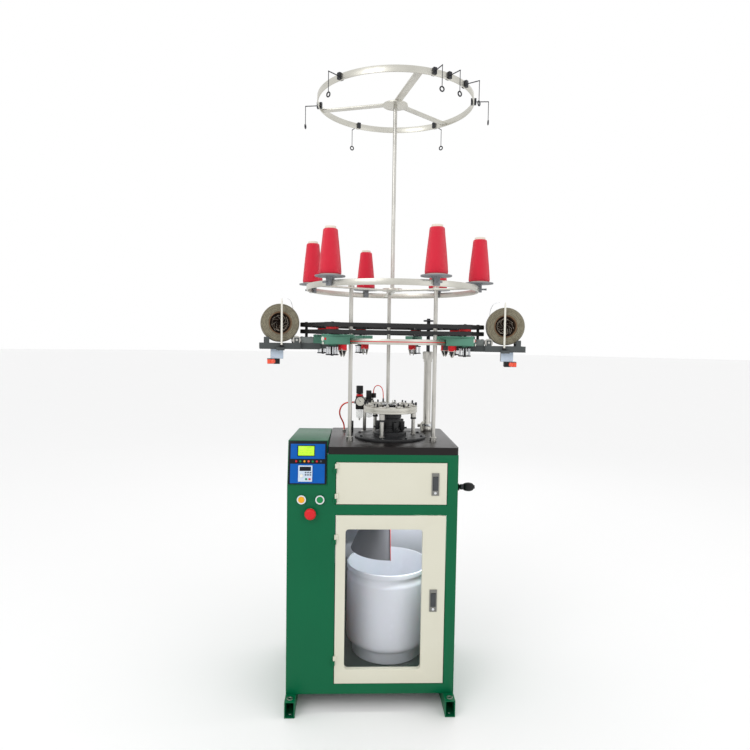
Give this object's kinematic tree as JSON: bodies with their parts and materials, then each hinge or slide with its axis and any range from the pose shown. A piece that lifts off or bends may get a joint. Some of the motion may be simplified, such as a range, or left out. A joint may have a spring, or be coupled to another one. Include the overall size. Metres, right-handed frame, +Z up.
{
  "type": "circular knitting machine",
  "caption": "Cabinet circular knitting machine with needle head, belt-driven yarn feeders, elastic spool units, cone ring, guide ring, console, hand crank and fabric drum.",
  "frame": {"origin": "on the floor under the vertical knitting axis, midway between the outer ends of the two spool trays", "axes": "+Z up, the operator stands at -Y, +X to the operator's right"},
  "size_m": [0.9496, 0.6822, 2.112],
  "materials": {
    "green_enamel": "gloss",
    "cream_enamel": "satin",
    "black_enamel": "gloss",
    "panel_film": "satin",
    "display": "gloss",
    "grey_plastic": "matte",
    "black_plastic": "satin",
    "green_plastic": "gloss",
    "yellow_plastic": "gloss",
    "red_plastic": "gloss",
    "chrome": "polished",
    "clear_pane": "gloss",
    "white_plastic": "satin",
    "grey_enamel": "satin",
    "lamp_tube": "gloss",
    "belt_rubber": "matte",
    "machined_steel": "brushed",
    "dark_steel": "satin",
    "cast_black": "satin",
    "ring_alloy": "brushed",
    "feeder_green": "satin",
    "hose_red": "gloss",
    "cone_yarn": "matte",
    "spool_yarn": "matte",
    "tray_grey": "satin"
  },
  "bodies": {
    "machine": {"foot_rails": "green_enamel", "front_frame": "green_enamel", "cabinet_panels": "green_enamel", "inner_panels": "green_enamel", "console_housing": "green_enamel", "table_top": "black_enamel", "console_panel": "panel_film", "lcd_display": "display", "electrical_unit": "grey_plastic", "button_bezels": "chrome", "fabric_drum": "white_plastic", "fabric_chute": "grey_enamel", "compartment_lamp": "lamp_tube", "main_motor": "grey_enamel", "drive_belts": "belt_rubber", "shaft_bearings": "cast_black", "cam_box": "cast_black", "guide_ring": "ring_alloy", "yarn_guides": "machined_steel", "air_unit": "black_plastic", "air_hose": "hose_red", "support_poles": "machined_steel", "feeder_ring": "ring_alloy", "feeder_housings": "feeder_green", "stop_detectors": "red_plastic", "feeder_belts": "belt_rubber", "belt_column": "machined_steel", "cone_ring": "ring_alloy", "cone_holders": "grey_enamel", "yarn_cones": "cone_yarn", "top_ring": "ring_alloy", "thread_guides": "dark_steel", "spool_trays": "tray_grey"},
    "cylinder": {"cylinder_shaft": "machined_steel", "needle_cylinder": "dark_steel"},
    "motor_rotor": {"motor_pulley": "machined_steel"},
    "crank": {"crank_shaft": "dark_steel"},
    "grip": {"crank_grip": "black_plastic"},
    "drive_column": {"column_shaft": "dark_steel"},
    "upper_door": {"upper_door": "cream_enamel"},
    "lower_door": {"lower_door": "cream_enamel", "door_window": "clear_pane"},
    "upper_lock": {"upper_lock": "chrome"},
    "lower_lock": {"lower_lock": "chrome"},
    "jog_button": {"jog_button": "yellow_plastic"},
    "start_button": {"start_button": "green_plastic"},
    "stop_button": {"stop_button": "red_plastic"},
    "pressure_knob": {"regulator_knob": "black_plastic"},
    "spindle_1": {"feeder_spindle_1": "black_plastic"},
    "spindle_2": {"feeder_spindle_2": "black_plastic"},
    "spindle_3": {"feeder_spindle_3": "black_plastic"},
    "spindle_4": {"feeder_spindle_4": "black_plastic"},
    "spindle_5": {"feeder_spindle_5": "black_plastic"},
    "spindle_6": {"feeder_spindle_6": "black_plastic"},
    "roller_left": {"spool_roller_left": "machined_steel"},
    "spool_left": {"spool_left": "spool_yarn"},
    "spool_drive_left": {"spool_drive_left": "black_plastic"},
    "roller_right": {"spool_roller_right": "machined_steel"},
    "spool_right": {"spool_right": "spool_yarn"},
    "spool_drive_right": {"spool_drive_right": "black_plastic"}
  },
  "joints": [
    {"name": "cylinder_spin", "type": "hinge", "parent": "machine", "child": "cylinder", "pos_m": [0, 0, 0.85], "axis": [0, 0, 1], "continuous": true},
    {"name": "motor_spin", "type": "hinge", "parent": "machine", "child": "motor_rotor", "pos_m": [-0.125, 0.11, 0.83], "axis": [0, 0, 1], "continuous": true},
    {"name": "crank_turn", "type": "hinge", "parent": "machine", "child": "crank", "pos_m": [0.2, 0, 0.714], "axis": [1, 0, 0], "continuous": true},
    {"name": "grip_spin", "type": "hinge", "parent": "crank", "child": "grip", "pos_m": [0.28, -0.07745, 0.73403], "axis": [1, 0, 0], "continuous": true},
    {"name": "drive_column_spin", "type": "hinge", "parent": "machine", "child": "drive_column", "pos_m": [0.156, 0.168, 1], "axis": [0, 0, 1], "continuous": true},
    {"name": "spindle_1_spin", "type": "hinge", "parent": "machine", "child": "spindle_1", "pos_m": [0.25034, -0.10114, 1.25], "axis": [0, 0, 1], "continuous": true},
    {"name": "spindle_2_spin", "type": "hinge", "parent": "machine", "child": "spindle_2", "pos_m": [0.25034, 0.10114, 1.25], "axis": [0, 0, 1], "continuous": true},
    {"name": "spindle_3_spin", "type": "hinge", "parent": "machine", "child": "spindle_3", "pos_m": [0.11411, 0.2447, 1.25], "axis": [0, 0, 1], "continuous": true},
    {"name": "spindle_4_spin", "type": "hinge", "parent": "machine", "child": "spindle_4", "pos_m": [-0.10982, 0.24666, 1.25], "axis": [0, 0, 1], "continuous": true},
    {"name": "spindle_5_spin", "type": "hinge", "parent": "machine", "child": "spindle_5", "pos_m": [-0.25372, 0.09234, 1.25], "axis": [0, 0, 1], "continuous": true},
    {"name": "spindle_6_spin", "type": "hinge", "parent": "machine", "child": "spindle_6", "pos_m": [-0.20983, -0.16992, 1.25], "axis": [0, 0, 1], "continuous": true},
    {"name": "spool_drive_right_spin", "type": "hinge", "parent": "machine", "child": "spool_drive_right", "pos_m": [0.30529, -0.05383, 1.28], "axis": [0, 0, 1], "continuous": true},
    {"name": "roller_right_spin", "type": "hinge", "parent": "machine", "child": "roller_right", "pos_m": [0.34271, -0.06043, 1.25145], "axis": [0.1736, 0.9848, 0], "continuous": true},
    {"name": "spool_right_spin", "type": "hinge", "parent": "machine", "child": "spool_right", "pos_m": [0.39786, -0.07015, 1.309], "axis": [0.1736, 0.9848, 0], "continuous": true},
    {"name": "spool_drive_left_spin", "type": "hinge", "parent": "machine", "child": "spool_drive_left", "pos_m": [-0.30529, -0.05383, 1.28], "axis": [0, 0, 1], "continuous": true},
    {"name": "roller_left_spin", "type": "hinge", "parent": "machine", "child": "roller_left", "pos_m": [-0.34271, -0.06043, 1.25145], "axis": [0.1736, -0.9848, 0], "continuous": true},
    {"name": "spool_left_spin", "type": "hinge", "parent": "machine", "child": "spool_left", "pos_m": [-0.39786, -0.07015, 1.309], "axis": [0.1736, -0.9848, 0], "continuous": true},
    {"name": "upper_door_hinge", "type": "hinge", "parent": "machine", "child": "upper_door", "pos_m": [-0.191, -0.2236, 0.778], "axis": [0, 0, -1], "range_deg": [0, 110]},
    {"name": "lower_door_hinge", "type": "hinge", "parent": "machine", "child": "lower_door", "pos_m": [-0.191, -0.2236, 0.38], "axis": [0, 0, -1], "range_deg": [0, 110]},
    {"name": "upper_lock_pull", "type": "hinge", "parent": "upper_door", "child": "upper_lock", "pos_m": [0.141, -0.2239, 0.8015], "axis": [-1, 0, 0], "range_deg": [0, 35], "stiffness_Nm_per_rad": 0.02},
    {"name": "lower_lock_pull", "type": "hinge", "parent": "lower_door", "child": "lower_lock", "pos_m": [0.141, -0.2239, 0.4045], "axis": [-1, 0, 0], "range_deg": [0, 35], "stiffness_Nm_per_rad": 0.02},
    {"name": "jog_press", "type": "slide", "parent": "machine", "child": "jog_button", "axis": [0, 1, 0], "range_m": [0, 0.004], "stiffness_N_per_m": 400},
    {"name": "start_press", "type": "slide", "parent": "machine", "child": "start_button", "axis": [0, 1, 0], "range_m": [0, 0.004], "stiffness_N_per_m": 400},
    {"name": "stop_press", "type": "slide", "parent": "machine", "child": "stop_button", "axis": [0, 1, 0], "range_m": [0, 0.004], "stiffness_N_per_m": 400},
    {"name": "pressure_knob_turn", "type": "hinge", "parent": "machine", "child": "pressure_knob", "pos_m": [-0.112, 0.1, 1.06], "axis": [0, 0, 1], "range_deg": [-170, 170]}
  ],
  "couplings": [
    {"joint": "motor_spin", "follows": "cylinder_spin", "ratio": 2},
    {"joint": "crank_turn", "follows": "cylinder_spin", "ratio": -2.5},
    {"joint": "drive_column_spin", "follows": "cylinder_spin", "ratio": 2},
    {"joint": "spindle_1_spin", "follows": "cylinder_spin", "ratio": 4.1481},
    {"joint": "spindle_2_spin", "follows": "cylinder_spin", "ratio": 4.1481},
    {"joint": "spindle_3_spin", "follows": "cylinder_spin", "ratio": 4.1481},
    {"joint": "spindle_4_spin", "follows": "cylinder_spin", "ratio": 4.1481},
    {"joint": "spindle_5_spin", "follows": "cylinder_spin", "ratio": 4.1481},
    {"joint": "spindle_6_spin", "follows": "cylinder_spin", "ratio": 4.1481},
    {"joint": "spool_drive_right_spin", "follows": "cylinder_spin", "ratio": 5.6},
    {"joint": "roller_right_spin", "follows": "cylinder_spin", "ratio": 0.56},
    {"joint": "spool_right_spin", "follows": "cylinder_spin", "ratio": -0.11879},
    {"joint": "spool_drive_left_spin", "follows": "cylinder_spin", "ratio": 5.6},
    {"joint": "roller_left_spin", "follows": "cylinder_spin", "ratio": 0.56},
    {"joint": "spool_left_spin", "follows": "cylinder_spin", "ratio": -0.11879}
  ]
}
